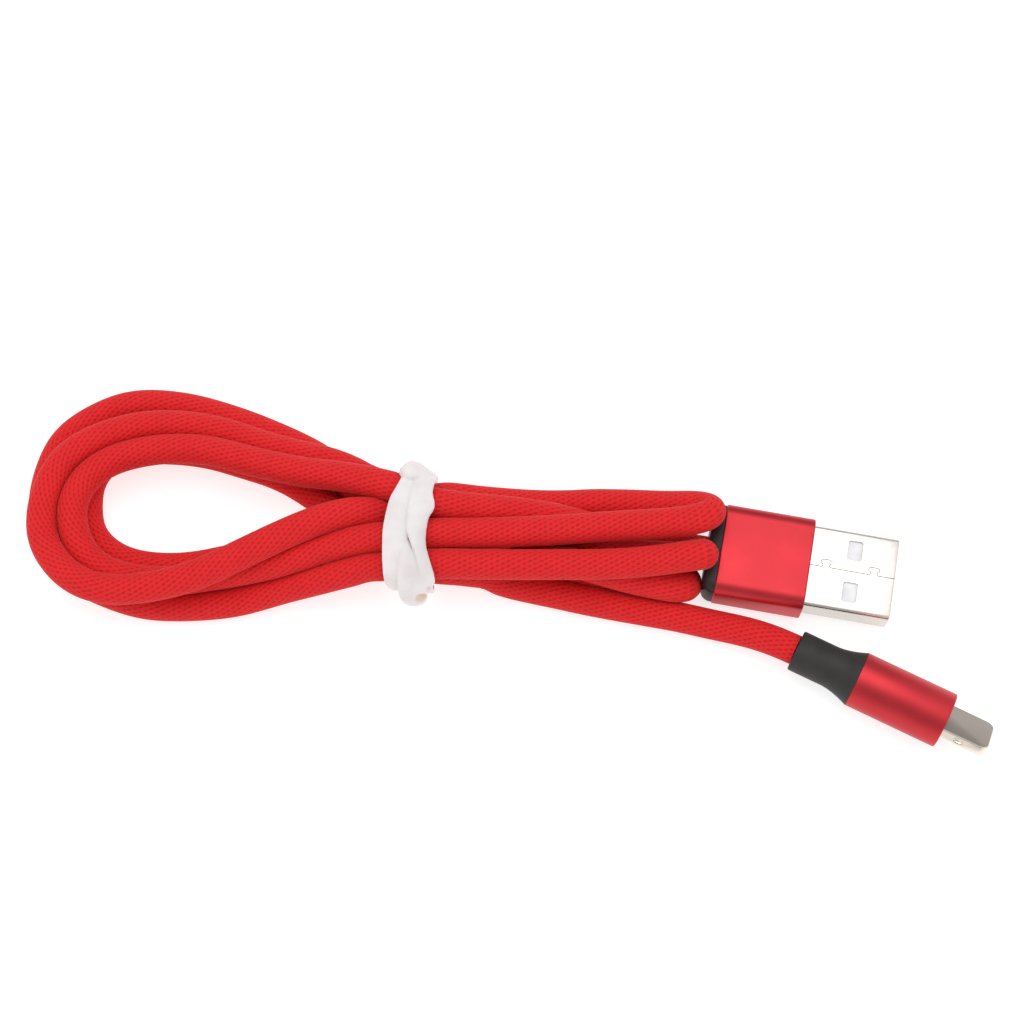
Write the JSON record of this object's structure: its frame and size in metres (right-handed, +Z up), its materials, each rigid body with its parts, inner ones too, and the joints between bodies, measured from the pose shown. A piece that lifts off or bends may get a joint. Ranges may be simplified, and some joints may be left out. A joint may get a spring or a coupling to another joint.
{
  "type": "charging cable",
  "caption": "Fabric-jacketed charging cable with an A-type plug and a flat eight-contact tab plug, folded into a hank and held by an elastic tie.",
  "frame": {"origin": "the middle of the flat underside of the A-type plug's housing, on the table", "axes": "+X runs along the hank towards the plugs, +Y to the far side of the hank, +Z up from the table"},
  "size_m": [0.1365, 0.0551, 0.0139],
  "materials": {
    "steel_shell": "nickel-plated, fine satin",
    "tongue_plastic": "moulded, matt",
    "gold_contact": "gold-plated, polished",
    "white_plastic": "moulded nylon, matt",
    "red_anodised": "fine-blasted and anodised red, satin",
    "dark_plastic": "moulded, matt",
    "clip_steel": "plain",
    "red_fabric": "fine open mesh weave",
    "lead_red": "extruded",
    "lead_white": "extruded",
    "lead_green": "extruded",
    "lead_black": "extruded",
    "tab_metal": "nickel-plated, satin",
    "board_green": "solder mask",
    "chip_black": "moulded",
    "capacitor_tan": "fired ceramic",
    "black_rubber": "soft, matt",
    "tie_rubber": "translucent white, satin"
  },
  "bodies": {
    "cable": {"a_shell": "steel_shell", "a_tongue": "tongue_plastic", "a_wire_block": "white_plastic", "a_contact_power": "gold_contact", "a_contact_data_minus": "gold_contact", "a_contact_data_plus": "gold_contact", "a_contact_ground": "gold_contact", "a_housing": "red_anodised", "a_end_cap": "dark_plastic", "a_inner_mould": "white_plastic", "a_crimp_ring": "clip_steel", "a_cord_end": "red_fabric", "a_lead_red": "lead_red", "a_lead_white": "lead_white", "a_lead_green": "lead_green", "a_lead_black": "lead_black", "tab_frame": "tab_metal", "tab_insulator": "white_plastic", "tab_contacts": "gold_contact", "tab_board": "board_green", "tab_chip": "chip_black", "tab_capacitors": "capacitor_tan", "tab_shield": "clip_steel", "tab_barrel": "red_anodised", "tab_inner_mould": "dark_plastic", "tab_boot": "black_rubber", "tab_crimp_ring": "clip_steel", "tab_cord_end": "red_fabric", "tab_lead_red": "lead_red", "tab_lead_white": "lead_white", "tab_lead_green": "lead_green", "tab_lead_black": "lead_black", "cord_hank": "red_fabric", "cord_stub": "red_fabric", "cord_tail": "red_fabric"},
    "tie": {"tie_band": "tie_rubber"}
  },
  "joints": [
    {"name": "tie_slide", "type": "slide", "parent": "cable", "child": "tie", "axis": [1, 0, 0], "range_m": [-0.001, 0.006]}
  ]
}
